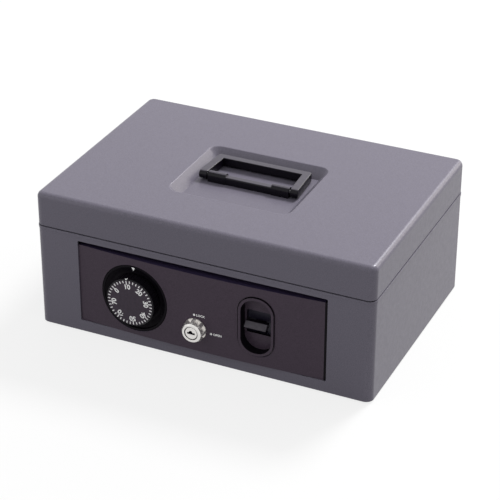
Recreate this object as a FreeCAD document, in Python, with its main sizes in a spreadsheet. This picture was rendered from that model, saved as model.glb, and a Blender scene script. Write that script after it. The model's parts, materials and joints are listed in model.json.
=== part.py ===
import FreeCAD, Part
import math
import operator
import os
from types import SimpleNamespace
import Sketcher

# Cash box with a dial lock, a key lock, a thumb slide and a folding lid handle.
# X runs to the right, Y to the back and Z up; the origin is under the middle, on the table.

# Driving dimensions in millimetres: name, number, meaning
DIMENSIONS = [
    ("box_width", 310, "outside width of body and lid"),
    ("box_depth", 214, "outside depth of body and lid"),
    ("foot_height", 1.5, "feet below the body"),
    ("body_top", 96.9, "upper edge of the body"),
    ("lid_bottom", 97.9, "lower edge of the lid"),
    ("lid_top", 128.4, "top face of the lid"),
    ("wall", 1.2, "sheet thickness"),
    ("corner_radius", 7, "upright corners"),
    ("lid_edge_radius", 5, "rounded top edge of the lid"),
    ("lip_height", 2.2, "rolled bead on the body's upper edge"),
    ("lip_proud", 0.4, "how far the bead stands out"),
    ("flange", 20, "inward flange under the body"),
    ("front_proud", 11.8, "lock face in front of the front wall"),
    ("rear_proud", 6.5, "hinge barrels behind the back wall"),
    ("collar_low", 91.2, "lower edge of the inner collar"),
    ("collar_high", 102.4, "upper edge of the inner collar"),
    ("opening_half", 115, "half width of the opening in the front wall"),
    ("opening_low", 12, "lower edge of that opening"),
    ("opening_high", 90.5, "upper edge of that opening"),
    ("panel_half", 113.5, "half width of the bowed front panel"),
    ("panel_low", 12.5, "lower edge of the panel"),
    ("panel_high", 86.5, "upper edge of the panel"),
    ("panel_inset", 1.5, "panel's ends behind the front wall"),
    ("panel_bow", 4.5, "how far the panel bows out at mid width"),
    ("panel_wall", 2.5, "panel moulding thickness"),
    ("dial_x", -61, "dial axis across"),
    ("dial_z", 48.2, "dial axis height"),
    ("ring_radius", 31.2, "dial ring in the panel"),
    ("dish_radius", 29.4, "dish round the dial"),
    ("knob_radius", 22.3, "dial knob"),
    ("knob_front", 9.8, "dial knob's rim in front of the wall"),
    ("lock_x", -2.8, "key lock axis across"),
    ("lock_z", 34, "key lock axis height"),
    ("lock_base_radius", 10.2, "key lock collar at the panel"),
    ("lock_body_radius", 8, "key lock barrel"),
    ("plug_radius", 5.5, "turning plug of the key lock"),
    ("slide_x", 52.7, "thumb slide across"),
    ("slide_z", 49.5, "thumb slide's cup centre height"),
    ("bezel_half", 15.9, "half width of the slide bezel"),
    ("bezel_tall", 27.7, "half height of the slide bezel"),
    ("cup_half", 13.6, "half width of the thumb cup"),
    ("cup_tall", 25.4, "half height of the thumb cup"),
    ("cup_floor", 5.5, "cup floor behind the front wall"),
    ("bezel_seat", 0.6, "recess floor under the bezel's rim, in front of the wall"),
    ("bezel_gap", 1, "dark gap round the bezel"),
    ("window_half", 11.8, "half width of the window in the cup's floor"),
    ("window_high", 60.2, "upper edge of that window"),
    ("thumb_half", 11.1, "half width of the thumb piece"),
    ("thumb_low", 45.5, "lower edge of the thumb piece"),
    ("thumb_high", 51.7, "upper edge of the thumb piece"),
    ("thumb_front", 2.5, "thumb piece in front of the wall"),
    ("slide_travel", 8, "thumb slide travel"),
    ("plate_depth", 9, "lock plate's face behind the front wall"),
    ("plate_thick", 1.5, "lock plate"),
    ("mech_left", -96, "lock plate's left edge"),
    ("mech_right", 86, "lock plate's right edge"),
    ("mech_low", 13, "lock plate's lower edge"),
    ("mech_high", 87, "lock plate's upper edge"),
    ("cover_depth", 34, "mechanism cover behind the lock plate"),
    ("spindle_radius", 3, "dial spindle"),
    ("post_radius", 6, "tube that the tumbler wheels turn on"),
    ("wheel_radius", 17, "tumbler wheel"),
    ("wheel_thick", 1.6, "tumbler wheel sheet"),
    ("wheel_pitch", 4, "tumbler wheel spacing"),
    ("wheel_first", 13.9, "first tumbler wheel behind the front wall"),
    ("pocket_half", 57, "half width of the handle pocket at the lid's surface"),
    ("pocket_front", 52, "pocket's front edge behind the front wall"),
    ("pocket_back", 146, "pocket's back edge behind the front wall"),
    ("pocket_depth", 9, "handle pocket"),
    ("pocket_slope", 8.5, "run of the pocket's sloping sides"),
    ("handle_axis", 99, "handle pivot behind the front wall"),
    ("handle_reach", 34, "pivot to the far edge of the grip"),
    ("bail_thick", 8, "handle bar, upright"),
    ("bail_width", 7, "handle bar, flat"),
    ("bail_front_half", 46.6, "half width of the handle at its pivot"),
    ("bail_back_half", 44.2, "half width of the handle at its grip"),
    ("handle_pin_radius", 1.5, "handle pivot pins"),
    ("hinge_x", 95, "middle of each rear hinge"),
    ("hinge_half", 22, "half length of a hinge"),
    ("barrel_radius", 2.8, "hinge barrel"),
    ("hinge_pin_radius", 1.5, "hinge pin"),
    ("leaf_thick", 1.5, "hinge leaf"),
    ("tray_half", 147, "half width of the coin tray"),
    ("tray_front", 49, "coin tray's front behind the front wall"),
    ("tray_back", 202, "coin tray's back behind the front wall"),
    ("tray_low", 58, "underside of the coin tray"),
    ("tray_high", 90, "rim of the coin tray"),
    ("tray_wall", 2, "coin tray walls"),
    ("divider_thick", 1.6, "loose dividers of the coin tray"),
    ("stem_half", 5.2, "half width of the stem behind the thumb slide"),
    ("pocket_lip", 1.5, "rounded lip of the handle pocket"),
]

FLUTES = 36
LOCK_NOTCHES = 8
WHEEL_HOLES = 12
GATE_ANGLES = (0, 105, 220)
COIN_CELLS = 4
SPRING_TURNS = 6

OPERATIONS = {"+": operator.add, "-": operator.sub, "*": operator.mul, "/": operator.truediv}


class Size:
    """A length that keeps both its number and its formula in the sheet."""

    def __init__(self, number, formula, tied=True):
        self.number = number
        self.formula = formula
        self.tied = tied

    def __add__(self, other):
        return combine(self, "+", other)

    def __radd__(self, other):
        return combine(other, "+", self)

    def __sub__(self, other):
        return combine(self, "-", other)

    def __rsub__(self, other):
        return combine(other, "-", self)

    def __mul__(self, other):
        return combine(self, "*", other)

    def __rmul__(self, other):
        return combine(other, "*", self)

    def __truediv__(self, other):
        return combine(self, "/", other)

    def __neg__(self):
        return combine(-1, "*", self)


def as_size(value):
    if isinstance(value, Size):
        return value
    return Size(float(value), f"({float(value)})", tied=False)


def combine(left, sign, right):
    left = as_size(left)
    right = as_size(right)
    number = OPERATIONS[sign](left.number, right.number)
    return Size(number, f"({left.formula} {sign} {right.formula})", left.tied or right.tied)


doc = FreeCAD.newDocument("cash_box")
sheet = doc.addObject("Spreadsheet::Sheet", "Sheet")
for row, (alias, number, meaning) in enumerate(DIMENSIONS, start=1):
    sheet.set(f"A{row}", alias)
    sheet.set(f"B{row}", str(number))
    sheet.set(f"C{row}", meaning)
    sheet.setAlias(f"B{row}", alias)
doc.recompute()

d = SimpleNamespace(**{alias: Size(float(number), f"Sheet.{alias}") for alias, number, _ in DIMENSIONS})
half_width = d.box_width / 2
front_y = d.front_proud - (d.box_depth + d.front_proud + d.rear_proud) / 2
back_y = front_y + d.box_depth
panel_apex = d.panel_bow - d.panel_inset
panel_radius = (d.panel_half * d.panel_half + d.panel_bow * d.panel_bow) / (d.panel_bow * 2)
plate_back = -(d.plate_depth + d.plate_thick)

nodes = {}
facing_front = FreeCAD.Rotation(FreeCAD.Vector(1, 0, 0), 90)


def bind(obj, prop, value):
    """Tie one property of a document object to the sheet."""
    obj.setExpression(prop, as_size(value).formula)


def new_body(label):
    body = doc.addObject("PartDesign::Body", label)
    body.Label = label
    nodes[label] = body
    return body


def front_body(label, across=0, height=0, spin=0):
    """A body whose own X, Y and Z run right, up and out of the front wall."""
    body = new_body(label)
    turn = FreeCAD.Rotation(FreeCAD.Vector(0, 0, 1), spin)
    body.Placement = FreeCAD.Placement(FreeCAD.Vector(), facing_front * turn)
    bind(body, "Placement.Base.x", across)
    bind(body, "Placement.Base.y", front_y)
    bind(body, "Placement.Base.z", height)
    return body


# Sketch outlines


def hold_point(sketch, geometry, point, across, up):
    """Fix a sketch point by its two distances from the sketch's origin."""
    for kind, value in (("DistanceX", across), ("DistanceY", up)):
        if value is None:
            continue
        value = as_size(value)
        index = sketch.addConstraint(Sketcher.Constraint(kind, -1, 1, geometry, point, value.number))
        if value.tied:
            sketch.setExpression(f"Constraints[{index}]", value.formula)


def hold_radius(sketch, geometry, radius):
    radius = as_size(radius)
    index = sketch.addConstraint(Sketcher.Constraint("Radius", geometry, radius.number))
    if radius.tied:
        sketch.setExpression(f"Constraints[{index}]", radius.formula)


def flat(across, up):
    return FreeCAD.Vector(as_size(across).number, as_size(up).number, 0)


def disc(across, up, radius):
    def draw(sketch):
        centre = flat(across, up)
        geometry = sketch.addGeometry(Part.Circle(centre, FreeCAD.Vector(0, 0, 1), as_size(radius).number))
        hold_point(sketch, geometry, 3, across, up)
        hold_radius(sketch, geometry, radius)

    return draw


def polygon(points):
    def draw(sketch):
        ends = points[1:] + points[:1]
        lines = [sketch.addGeometry(Part.LineSegment(flat(*a), flat(*b))) for a, b in zip(points, ends)]
        for line, following in zip(lines, lines[1:] + lines[:1]):
            sketch.addConstraint(Sketcher.Constraint("Coincident", line, 2, following, 1))
        for line, point in zip(lines, points):
            hold_point(sketch, line, 1, *point)

    return draw


def rectangle(left, right, low, high):
    return polygon([(left, low), (right, low), (right, high), (left, high)])


def rounded(left, right, low, high, radius):
    """A rectangle with four round corners."""

    def draw(sketch):
        x0, x1, y0, y1, r = (as_size(v).number for v in (left, right, low, high, radius))
        sides = [
            Part.LineSegment(FreeCAD.Vector(x0 + r, y0, 0), FreeCAD.Vector(x1 - r, y0, 0)),
            Part.LineSegment(FreeCAD.Vector(x1, y0 + r, 0), FreeCAD.Vector(x1, y1 - r, 0)),
            Part.LineSegment(FreeCAD.Vector(x1 - r, y1, 0), FreeCAD.Vector(x0 + r, y1, 0)),
            Part.LineSegment(FreeCAD.Vector(x0, y1 - r, 0), FreeCAD.Vector(x0, y0 + r, 0)),
        ]
        centres = [(x1 - r, y0 + r), (x1 - r, y1 - r), (x0 + r, y1 - r), (x0 + r, y0 + r)]
        lines = [sketch.addGeometry(side) for side in sides]
        arcs = []
        for quarter, (cx, cy) in enumerate(centres):
            circle = Part.Circle(FreeCAD.Vector(cx, cy, 0), FreeCAD.Vector(0, 0, 1), r)
            start = (quarter - 1) * math.pi / 2
            arcs.append(sketch.addGeometry(Part.ArcOfCircle(circle, start, start + math.pi / 2)))
        for k in range(4):
            following = lines[(k + 1) % 4]
            sketch.addConstraint(Sketcher.Constraint("Tangent", lines[k], 2, arcs[k], 1))
            sketch.addConstraint(Sketcher.Constraint("Tangent", arcs[k], 2, following, 1))
            sketch.addConstraint(Sketcher.Constraint("Vertical" if k % 2 else "Horizontal", lines[k]))
            if k:
                sketch.addConstraint(Sketcher.Constraint("Equal", arcs[0], arcs[k]))
        hold_radius(sketch, arcs[0], radius)
        hold_point(sketch, lines[0], 1, None, low)
        hold_point(sketch, lines[1], 1, right, None)
        hold_point(sketch, lines[2], 1, None, high)
        hold_point(sketch, lines[3], 1, left, None)

    return draw


def bow(across, left, right, rise, level):
    """Between the panel's bowed face, raised by rise, and a straight line at level."""

    def draw(sketch):
        radius = panel_radius + rise
        low = panel_apex - panel_radius
        centre = flat(-as_size(across), low)

        def on_arc(u):
            reach = as_size(u).number - centre.x
            return FreeCAD.Vector(as_size(u).number, centre.y + math.sqrt(radius.number**2 - reach**2), 0)

        a, b = on_arc(left), on_arc(right)
        circle = Part.Circle(centre, FreeCAD.Vector(0, 0, 1), radius.number)
        angles = [math.atan2(p.y - centre.y, p.x - centre.x) for p in (b, a)]
        arc = sketch.addGeometry(Part.ArcOfCircle(circle, *angles))
        corners = [a, flat(left, level), flat(right, level), b]
        lines = [sketch.addGeometry(Part.LineSegment(p, q)) for p, q in zip(corners, corners[1:])]
        chain = [arc] + lines
        for piece, following in zip(chain, chain[1:] + chain[:1]):
            sketch.addConstraint(Sketcher.Constraint("Coincident", piece, 2, following, 1))
        hold_point(sketch, arc, 3, -as_size(across), low)
        hold_radius(sketch, arc, radius)
        hold_point(sketch, lines[0], 1, left, None)
        hold_point(sketch, lines[1], 1, left, level)
        hold_point(sketch, lines[2], 1, right, level)
        hold_point(sketch, lines[2], 2, right, None)

    return draw


def plan(inset, corner=None):
    """The box's outline from above, moved inwards."""
    corner = corner or d.corner_radius - inset
    return rounded(inset - half_width, half_width - inset, front_y + inset, back_y - inset, corner)


def oblong(half, tall, shrink=0):
    """The thumb slide's upright oblong, with ends almost fully round."""
    half = half - shrink
    tall = tall - shrink
    return rounded(d.slide_x - half, d.slide_x + half, d.slide_z - tall, d.slide_z + tall, half * 0.94)


# Features


def sketch_on(body, plane, level, outlines):
    sketch = body.newObject("Sketcher::SketchObject", body.Name + "_sketch")
    support = [item for item in body.Origin.OriginFeatures if item.Role == plane + "_Plane"][0]
    sketch.AttachmentSupport = [(support, "")]
    sketch.MapMode = "FlatFace"
    bind(sketch, "AttachmentOffset.Base.z", level)
    for draw in outlines:
        draw(sketch)
    return sketch


def add(body, plane, level, length, *outlines):
    """Pad outlines from a level along the plane's normal: +Z on XY, -Y on XZ, +X on YZ."""
    sketch = sketch_on(body, plane, level, outlines)
    feature = body.newObject("PartDesign::Pad", body.Name + "_pad")
    feature.Profile = sketch
    bind(feature, "Length", length)
    settle(body, feature)
    return feature


def settle(body, feature):
    """Recompute, and stop at the first feature that fails."""
    doc.recompute()
    if "Invalid" in feature.State or "Error" in feature.State or feature.Shape.isNull():
        raise RuntimeError(f"{feature.Name} in {body.Label} failed: {feature.State}")


def checked_cut(body, feature, before):
    settle(body, feature)
    if body.Shape.Volume > before - 0.01:
        raise RuntimeError(f"{feature.Name} in {body.Label} removes nothing")
    return feature


def cut(body, plane, level, length, *outlines):
    """Pocket outlines from a level against the plane's normal."""
    before = body.Shape.Volume
    sketch = sketch_on(body, plane, level, outlines)
    feature = body.newObject("PartDesign::Pocket", body.Name + "_pocket")
    feature.Profile = sketch
    bind(feature, "Length", length)
    return checked_cut(body, feature, before)


def repeat_round(body, feature, count):
    """Repeat a feature round the body's own upright axis."""
    pattern = body.newObject("PartDesign::PolarPattern", body.Name + "_pattern")
    pattern.Originals = [feature]
    pattern.Axis = (feature.Profile[0], ["N_Axis"])
    pattern.Angle = 360
    pattern.Occurrences = count
    body.Tip = pattern
    settle(body, pattern)


def turn(body, points):
    """Revolve a profile of (radius, height) points about the body's own Z."""
    sketch = sketch_on(body, "XZ", 0, [polygon(points)])
    feature = body.newObject("PartDesign::Revolution", body.Name + "_revolve")
    feature.Profile = sketch
    feature.ReferenceAxis = (sketch, ["V_Axis"])
    feature.Angle = 360
    settle(body, feature)


def turn_away(body, points):
    before = body.Shape.Volume
    sketch = sketch_on(body, "XZ", 0, [polygon(points)])
    feature = body.newObject("PartDesign::Groove", body.Name + "_groove")
    feature.Profile = sketch
    feature.ReferenceAxis = (sketch, ["V_Axis"])
    feature.Angle = 360
    checked_cut(body, feature, before)


def round_edges(body, radius, chosen):
    """Round the edges of the body so far that the test picks by their middle point and direction."""
    base = body.Tip
    names = []
    for number, edge in enumerate(base.Shape.Edges, start=1):
        middle = edge.valueAt((edge.FirstParameter + edge.LastParameter) / 2)
        if chosen(edge, middle):
            names.append(f"Edge{number}")
    if not names:
        raise RuntimeError(f"no edge to round on {body.Label}")
    feature = body.newObject("PartDesign::Fillet", body.Name + "_fillet")
    feature.Base = (base, names)
    bind(feature, "Radius", radius)
    settle(body, feature)


def loft(body, kind, sections):
    """Loft through outlines given with their heights."""
    before = body.Shape.Volume
    sketches = [sketch_on(body, "XY", level, [outline]) for level, outline in sections]
    feature = body.newObject("PartDesign::" + kind, body.Name + "_loft")
    feature.Profile = sketches[0]
    feature.Sections = sketches[1:]
    feature.Ruled = True
    settle(body, feature)
    if abs(body.Shape.Volume - before) < 0.01:
        raise RuntimeError(f"loft in {body.Label} changes nothing")


def stud_group(body, places, layers, round_by=None):
    """Equal turned fasteners at several places, as steps of (radius, start, end) along Z."""
    for radius, start, end in layers:
        add(body, "XY", start, as_size(end) - start, *[disc(x, y, radius) for x, y in places])
    if round_by:
        top = max(as_size(end).number for _, _, end in layers)
        round_edges(body, round_by, lambda edge, middle: abs(middle.z - top) < 0.01)


# Body of the box

foot_places = [
    (side * (half_width - 13), y) for side in (-1, 1) for y in (front_y + 13, back_y - 13)
]
leaf_rivets = [side * d.hinge_x + offset for side in (-1, 1) for offset in (-14, 0, 14)]
body_leaf_low = d.body_top - 25
body_rivet_z = body_leaf_low + 9
lid_leaf_high = d.lid_bottom + 22
lid_rivet_z = lid_leaf_high - 8
RIVET_HOLE = 1.5
RIVET_SHANK = 1.45
FIT = 0.05


def make_body_shell():
    shell = new_body("body_shell")
    height = d.body_top - d.foot_height
    add(shell, "XY", d.foot_height, height, plan(0))
    add(shell, "XY", d.body_top - d.lip_height, d.lip_height, plan(-d.lip_proud))
    cut(shell, "XY", d.body_top, height - d.wall, plan(d.wall))
    cut(shell, "XY", d.foot_height + d.wall, d.wall, plan(d.wall + d.flange, 12))
    cut(
        shell,
        "XZ",
        1 - front_y,
        d.wall + 2,
        rounded(-d.opening_half, d.opening_half, d.opening_low, d.opening_high, 1),
    )
    cut(shell, "XZ", 3 - back_y, 5, *[disc(x, body_rivet_z, RIVET_HOLE) for x in leaf_rivets])
    cut(shell, "XY", d.foot_height + d.wall, d.wall, *[disc(x, y, 2.5) for x, y in foot_places])


def make_bottom_plate():
    plate = new_body("bottom_plate")
    level = d.foot_height + d.wall
    top = level + d.wall
    outer = d.wall + FIT
    add(plate, "XY", level, d.wall, plan(outer))
    add(plate, "XY", top, 4, plan(outer), plan(outer + d.wall))
    middle = (front_y + back_y) / 2
    rib = 0.8
    for y in (middle - 45, middle + 45):
        add(plate, "XY", top, rib, rounded(-110, 110, y - 6, y + 6, 5.5))
        cut(plate, "XY", level + rib, rib, rounded(-109, 109, y - 5, y + 5, 4.5))
    cut(plate, "XY", top, d.wall, *[disc(x, y, 2.5) for x, y in foot_places])


def collar_strips(outer, inner):
    """Four strips along the walls, between two distances from the outside."""
    across = half_width - d.corner_radius
    front_end = front_y + d.corner_radius
    back_end = back_y - d.corner_radius
    return [
        rectangle(-across, across, front_y + outer, front_y + inner),
        rectangle(-across, across, back_y - inner, back_y - outer),
        rectangle(outer - half_width, inner - half_width, front_end, back_end),
        rectangle(half_width - inner, half_width - outer, front_end, back_end),
    ]


def make_rim_collar():
    collar = new_body("rim_collar")
    step = d.body_top - 0.9
    inner = d.wall + 1.9
    add(collar, "XY", d.collar_low, step - d.collar_low, *collar_strips(d.wall + FIT, inner))
    add(collar, "XY", step, d.collar_high - step, *collar_strips(d.wall + 0.7, inner))


def make_feet():
    feet = new_body("feet")
    plate_top = d.foot_height + d.wall * 2
    stud_group(
        feet,
        foot_places,
        [(6, 0, d.foot_height), (2.45, d.foot_height, plate_top), (3.6, plate_top, plate_top + 1.4)],
        round_by=0.9,
    )


def make_tray_rail(label, side):
    rail = new_body(label)
    wall_x = side * (half_width - d.wall)
    ledge_top = d.tray_low - 0.3
    ledge_under = ledge_top - d.wall
    edge_x = wall_x - side * 12
    skin_x = wall_x - side * d.wall
    low = ledge_top - 13
    start = d.tray_front + 6
    profile = [
        (wall_x, low),
        (wall_x, ledge_top),
        (edge_x, ledge_top),
        (edge_x, ledge_under),
        (skin_x, ledge_under),
        (skin_x, low),
    ]
    add(rail, "XZ", -(front_y + d.tray_back - 6), d.tray_back - 6 - start, polygon(profile))


# Front panel and what stands in it

boss_places = [(d.mech_left + 6, d.mech_low + 5), (d.mech_left + 6, d.mech_high - 7)]
boss_places += [(d.mech_right - 6, d.mech_low + 5), (d.mech_right - 6, d.mech_high - 7)]


def make_front_panel():
    panel = front_body("front_panel")
    back = d.wall + FIT + 2
    shelf = d.plate_depth - 0.5
    add(panel, "XZ", -d.panel_high, d.panel_high - d.panel_low, bow(0, -d.panel_half, d.panel_half, 0, -back))
    add(
        panel,
        "XY",
        -back,
        back - d.wall - FIT,
        rectangle(-d.opening_half - 4, d.opening_half + 4, d.opening_low - 3.5, d.panel_high),
    )
    shelf_half = d.opening_half - 0.5
    shelf_low = d.panel_high - d.panel_wall
    add(panel, "XY", -shelf, shelf - back + 0.5, rectangle(-shelf_half, shelf_half, shelf_low, d.panel_high))
    add(panel, "XY", -shelf, d.panel_inset, rectangle(-shelf_half, shelf_half, shelf_low, d.body_top - 1.9))
    hollow_half = d.panel_half - d.panel_wall
    cut(
        panel,
        "XZ",
        -(d.panel_low + d.panel_wall),
        d.panel_high - d.panel_low - d.panel_wall * 2,
        bow(0, -hollow_half, hollow_half, -d.panel_wall, -20),
    )
    add(panel, "XY", -d.plate_depth, d.plate_depth - 1.2, *[disc(x, z, 4) for x, z in boss_places])
    cut(panel, "XY", -3, 8, *[disc(x, z, 1.25) for x, z in boss_places])
    cut(
        panel,
        "XY",
        12,
        30,
        disc(d.dial_x, d.dial_z, d.ring_radius + 0.5),
        disc(d.lock_x, d.lock_z, d.lock_body_radius + 0.25),
        oblong(d.bezel_half, d.bezel_tall, 0.7),
    )
    cut(panel, "XY", 12, 12 - d.bezel_seat, oblong(d.bezel_half, d.bezel_tall, -d.bezel_gap))


def make_dial_ring():
    ring = front_body("dial_ring", d.dial_x, d.dial_z)
    back = -4.6
    flange_front = -3.2
    dish_edge = -0.5
    dish_floor = -3
    reach = d.ring_radius + 5
    bore = 8
    add(ring, "XY", back, flange_front - back, disc(0, 0, d.ring_radius + 2.3))
    add(ring, "XY", flange_front, 10, disc(0, 0, d.ring_radius))
    cut(ring, "XZ", reach, reach * 2, bow(d.dial_x, -reach, reach, 0, 20))
    cut(ring, "XY", 12, 12 - dish_edge, disc(0, 0, d.dish_radius))
    skirt = d.knob_radius + 1.2
    turn_away(ring, [(0, dish_floor), (skirt, dish_floor), (d.dish_radius, dish_edge), (0, dish_edge)])
    add(ring, "XY", -d.plate_depth, d.plate_depth + back, disc(0, 0, 14))
    cut(ring, "XY", 2, 15, disc(0, 0, bore))


def make_dial_knob():
    knob = front_body("dial_knob", d.dial_x, d.dial_z)
    hub_back = -4.2
    skirt_back = -1.2
    face_floor = d.knob_front - 1
    hub = 7.5
    turn(
        knob,
        [
            (d.spindle_radius, hub_back),
            (hub, hub_back),
            (hub, face_floor - 2),
            (d.knob_radius - 2.2, face_floor - 2),
            (d.knob_radius - 2.2, skirt_back),
            (d.knob_radius, skirt_back),
            (d.knob_radius, d.knob_front - 0.7),
            (d.knob_radius - 0.6, d.knob_front),
            (d.knob_radius - 1.1, d.knob_front),
            (d.knob_radius - 1.1, face_floor),
            (0, face_floor),
            (0, 3),
            (d.spindle_radius, 3),
        ],
    )
    flute = cut(knob, "XY", d.knob_front - 1.4, d.knob_front + 1, disc(0, d.knob_radius + 0.3, 0.75))
    repeat_round(knob, flute, FLUTES)


def make_dial_face():
    face = front_body("dial_face", d.dial_x, d.dial_z)
    add(face, "XY", d.knob_front - 1, 0.9, disc(0, 0, d.knob_radius - 1.2))


def make_slide_bezel():
    bezel = front_body("slide_bezel")
    rim = 1.2
    back = -(d.cup_floor + 1.5)
    left = d.slide_x - d.bezel_half - 3
    right = d.slide_x + d.bezel_half + 3
    tall = d.bezel_tall * 2 + 6
    seat = d.bezel_seat + 0.02
    add(bezel, "XY", seat, 8, oblong(d.bezel_half, d.bezel_tall))
    add(bezel, "XY", back, seat - back, oblong(d.bezel_half, d.bezel_tall, 1))
    cut(bezel, "XZ", 3 + d.bezel_tall - d.slide_z, tall, bow(0, left, right, rim, 30))
    cut(bezel, "XY", 12, d.cup_floor + 12, oblong(d.cup_half, d.cup_tall))
    stem_low, _ = slide_stem()
    cut(
        bezel,
        "XY",
        0,
        12,
        rounded(
            d.slide_x - d.window_half,
            d.slide_x + d.window_half,
            stem_low - d.slide_travel - 0.6,
            d.window_high,
            1,
        ),
    )


def slide_stem():
    """Lower and upper edge of the stem that ties the thumb piece to the latch plate."""
    low = d.thumb_low + 1.5
    return low, low + 2


def make_slide_button():
    """A wedge that the thumb pushes down, with its stem."""
    button = front_body("slide_button")
    back = 0.3 - d.cup_floor
    edge = d.thumb_front - 4
    right = d.slide_x + d.thumb_half
    wedge = [
        (d.thumb_low, back),
        (d.thumb_low, d.thumb_front),
        (d.thumb_low + 1, d.thumb_front),
        (d.thumb_high, edge),
        (d.thumb_high, back),
    ]
    add(button, "YZ", right - d.thumb_half * 2, d.thumb_half * 2, polygon(wedge))
    round_edges(button, 0.4, lambda line, middle: middle.z > edge.number - 0.1 and line.Length > 20)
    stem_low, stem_high = slide_stem()
    add(
        button,
        "XY",
        latch_front,
        back - latch_front,
        rectangle(d.slide_x - d.stem_half, d.slide_x + d.stem_half, stem_low, stem_high),
    )


# Mechanism behind the panel

latch_front = -(d.plate_depth + 7)
latch_thick = 1.6
stud_places = [(d.slide_x + side * 9, z) for side in (-1, 1) for z in (d.slide_z - 9.5, d.slide_z + 16.5)]
latch_low = d.slide_z - 15.5
fence_low = d.dial_z + d.wheel_radius + d.slide_travel + 1
striker_front = d.plate_depth + 3


def make_lock_plate():
    plate = front_body("lock_plate")
    add(
        plate,
        "XY",
        plate_back,
        d.plate_thick,
        rounded(d.mech_left, d.mech_right, d.mech_low, d.mech_high, 4),
    )
    low, high = slide_stem()
    cut(
        plate,
        "XY",
        -d.plate_depth,
        d.plate_thick,
        disc(d.dial_x, d.dial_z, d.spindle_radius + 0.4),
        disc(d.lock_x, d.lock_z, d.lock_body_radius + 0.1),
        rounded(
            d.slide_x - d.stem_half - 0.6,
            d.slide_x + d.stem_half + 0.6,
            low - d.slide_travel - 0.6,
            high + 0.6,
            1,
        ),
        *[disc(x, z, 1.3) for x, z in boss_places],
    )
    seat = d.slide_x
    add(
        plate,
        "XY",
        latch_front - latch_thick - 3.5,
        plate_back - latch_front + latch_thick + 3.5,
        rectangle(seat - 5, seat + 5, latch_low - 15.5, latch_low - 14),
    )


def make_cover_posts():
    posts = front_body("cover_posts")
    back = plate_back - d.cover_depth + 1
    stud_group(posts, boss_places, [(3, back, plate_back), (1.2, plate_back, -4)])
    cut(posts, "XY", back + 8, 8, *[disc(x, z, 1.45) for x, z in boss_places])


def make_mechanism_cover():
    cover = front_body("mechanism_cover")
    sheet_thick = 1
    back = plate_back - d.cover_depth
    left = d.mech_left + 1
    right = d.mech_right - 1
    low = d.mech_low + 0.5
    high = d.mech_high - 0.5
    add(cover, "XY", back, d.cover_depth, rounded(left, right, low, high, 5))
    round_edges(cover, 3, lambda edge, middle: abs(middle.z - back.number) < 0.01)
    inner = rounded(left + sheet_thick, right - sheet_thick, low + sheet_thick, high - sheet_thick, 4)
    cut(cover, "XY", plate_back, d.cover_depth - sheet_thick, inner)
    cut(cover, "XY", back + 3, 6, *[disc(x, z, 1.6) for x, z in boss_places])
    cut(
        cover,
        "XZ",
        3 - as_size(high),
        6,
        rectangle(d.slide_x - 15, d.slide_x + 15, -(striker_front + 3.4), plate_back),
    )


def make_cover_screws():
    screws = front_body("cover_screws")
    seat = plate_back - d.cover_depth
    add(screws, "XY", seat - 2, 2, *[disc(x, z, 3) for x, z in boss_places])
    round_edges(screws, 0.9, lambda edge, middle: abs(middle.z - seat.number + 2) < 0.01)
    add(screws, "XY", seat, 8, *[disc(x, z, 1.4) for x, z in boss_places])


def make_dial_spindle():
    spindle = front_body("dial_spindle", d.dial_x, d.dial_z)
    add(spindle, "XY", -31, 34, disc(0, 0, d.spindle_radius))


def make_wheel_post():
    post = front_body("wheel_post", d.dial_x, d.dial_z)
    bore = d.spindle_radius + 0.06
    shoulder = plate_back - 1.2
    end = -(d.wheel_first + d.wheel_pitch * 2 + d.wheel_thick + 0.7)
    turn(
        post,
        [
            (bore, plate_back),
            (9, plate_back),
            (9, shoulder),
            (d.post_radius, shoulder),
            (d.post_radius, end),
            (bore, end),
        ],
    )


def wheel_front(number):
    return -(d.wheel_first + d.wheel_pitch * number)


def make_wheel_spacers():
    spacers = front_body("wheel_spacers", d.dial_x, d.dial_z)
    bore = d.post_radius + 0.02
    starts = [plate_back - 1.2] + [wheel_front(k) - d.wheel_thick - 0.3 for k in range(3)]
    ends = [wheel_front(k) + 0.3 for k in range(3)] + [wheel_front(2) - d.wheel_thick - 0.7]
    for start, end in zip(starts, ends):
        add(spacers, "XY", end, start - end, disc(0, 0, 8.4), disc(0, 0, bore))


def make_tumbler_wheel(number):
    wheel = front_body(f"tumbler_wheel_{number + 1}", d.dial_x, d.dial_z, GATE_ANGLES[number])
    back = wheel_front(number) - d.wheel_thick
    add(wheel, "XY", back, d.wheel_thick, disc(0, 0, d.wheel_radius), disc(0, 0, d.post_radius + FIT))
    hole = cut(wheel, "XY", wheel_front(number), d.wheel_thick, disc(13.2, 0, 1.4))
    repeat_round(wheel, hole, WHEEL_HOLES)
    gate_depth = 5
    cut(
        wheel,
        "XY",
        wheel_front(number),
        d.wheel_thick,
        rectangle(-2.4, 2.4, d.wheel_radius - gate_depth, d.wheel_radius + 2),
    )
    add(wheel, "XY", back - 1.2, 1.2, disc(-9.9, 0, 1.2))


def make_drive_cam():
    cam = front_body("drive_cam", d.dial_x, d.dial_z)
    front = wheel_front(2) - d.wheel_thick - 1.7
    add(cam, "XY", front - 2.5, 2.5, disc(0, 0, 15), disc(0, 0, d.spindle_radius))
    cut(cam, "XY", front, 2.5, polygon([(-3, 16), (-1.6, 10), (1.6, 10), (3, 16)]))
    add(cam, "XY", front, 0.8, disc(9.9, 0, 1.2))


def hexagon(radius):
    corners = [k * math.pi / 3 for k in range(6)]
    return polygon([(radius * math.cos(a), radius * math.sin(a)) for a in corners])


def make_spindle_nut():
    nut = front_body("spindle_nut", d.dial_x, d.dial_z)
    front = wheel_front(2) - d.wheel_thick - 4.2
    add(nut, "XY", front - 2.4, 2.4, hexagon(5.8), disc(0, 0, d.spindle_radius))


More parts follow.
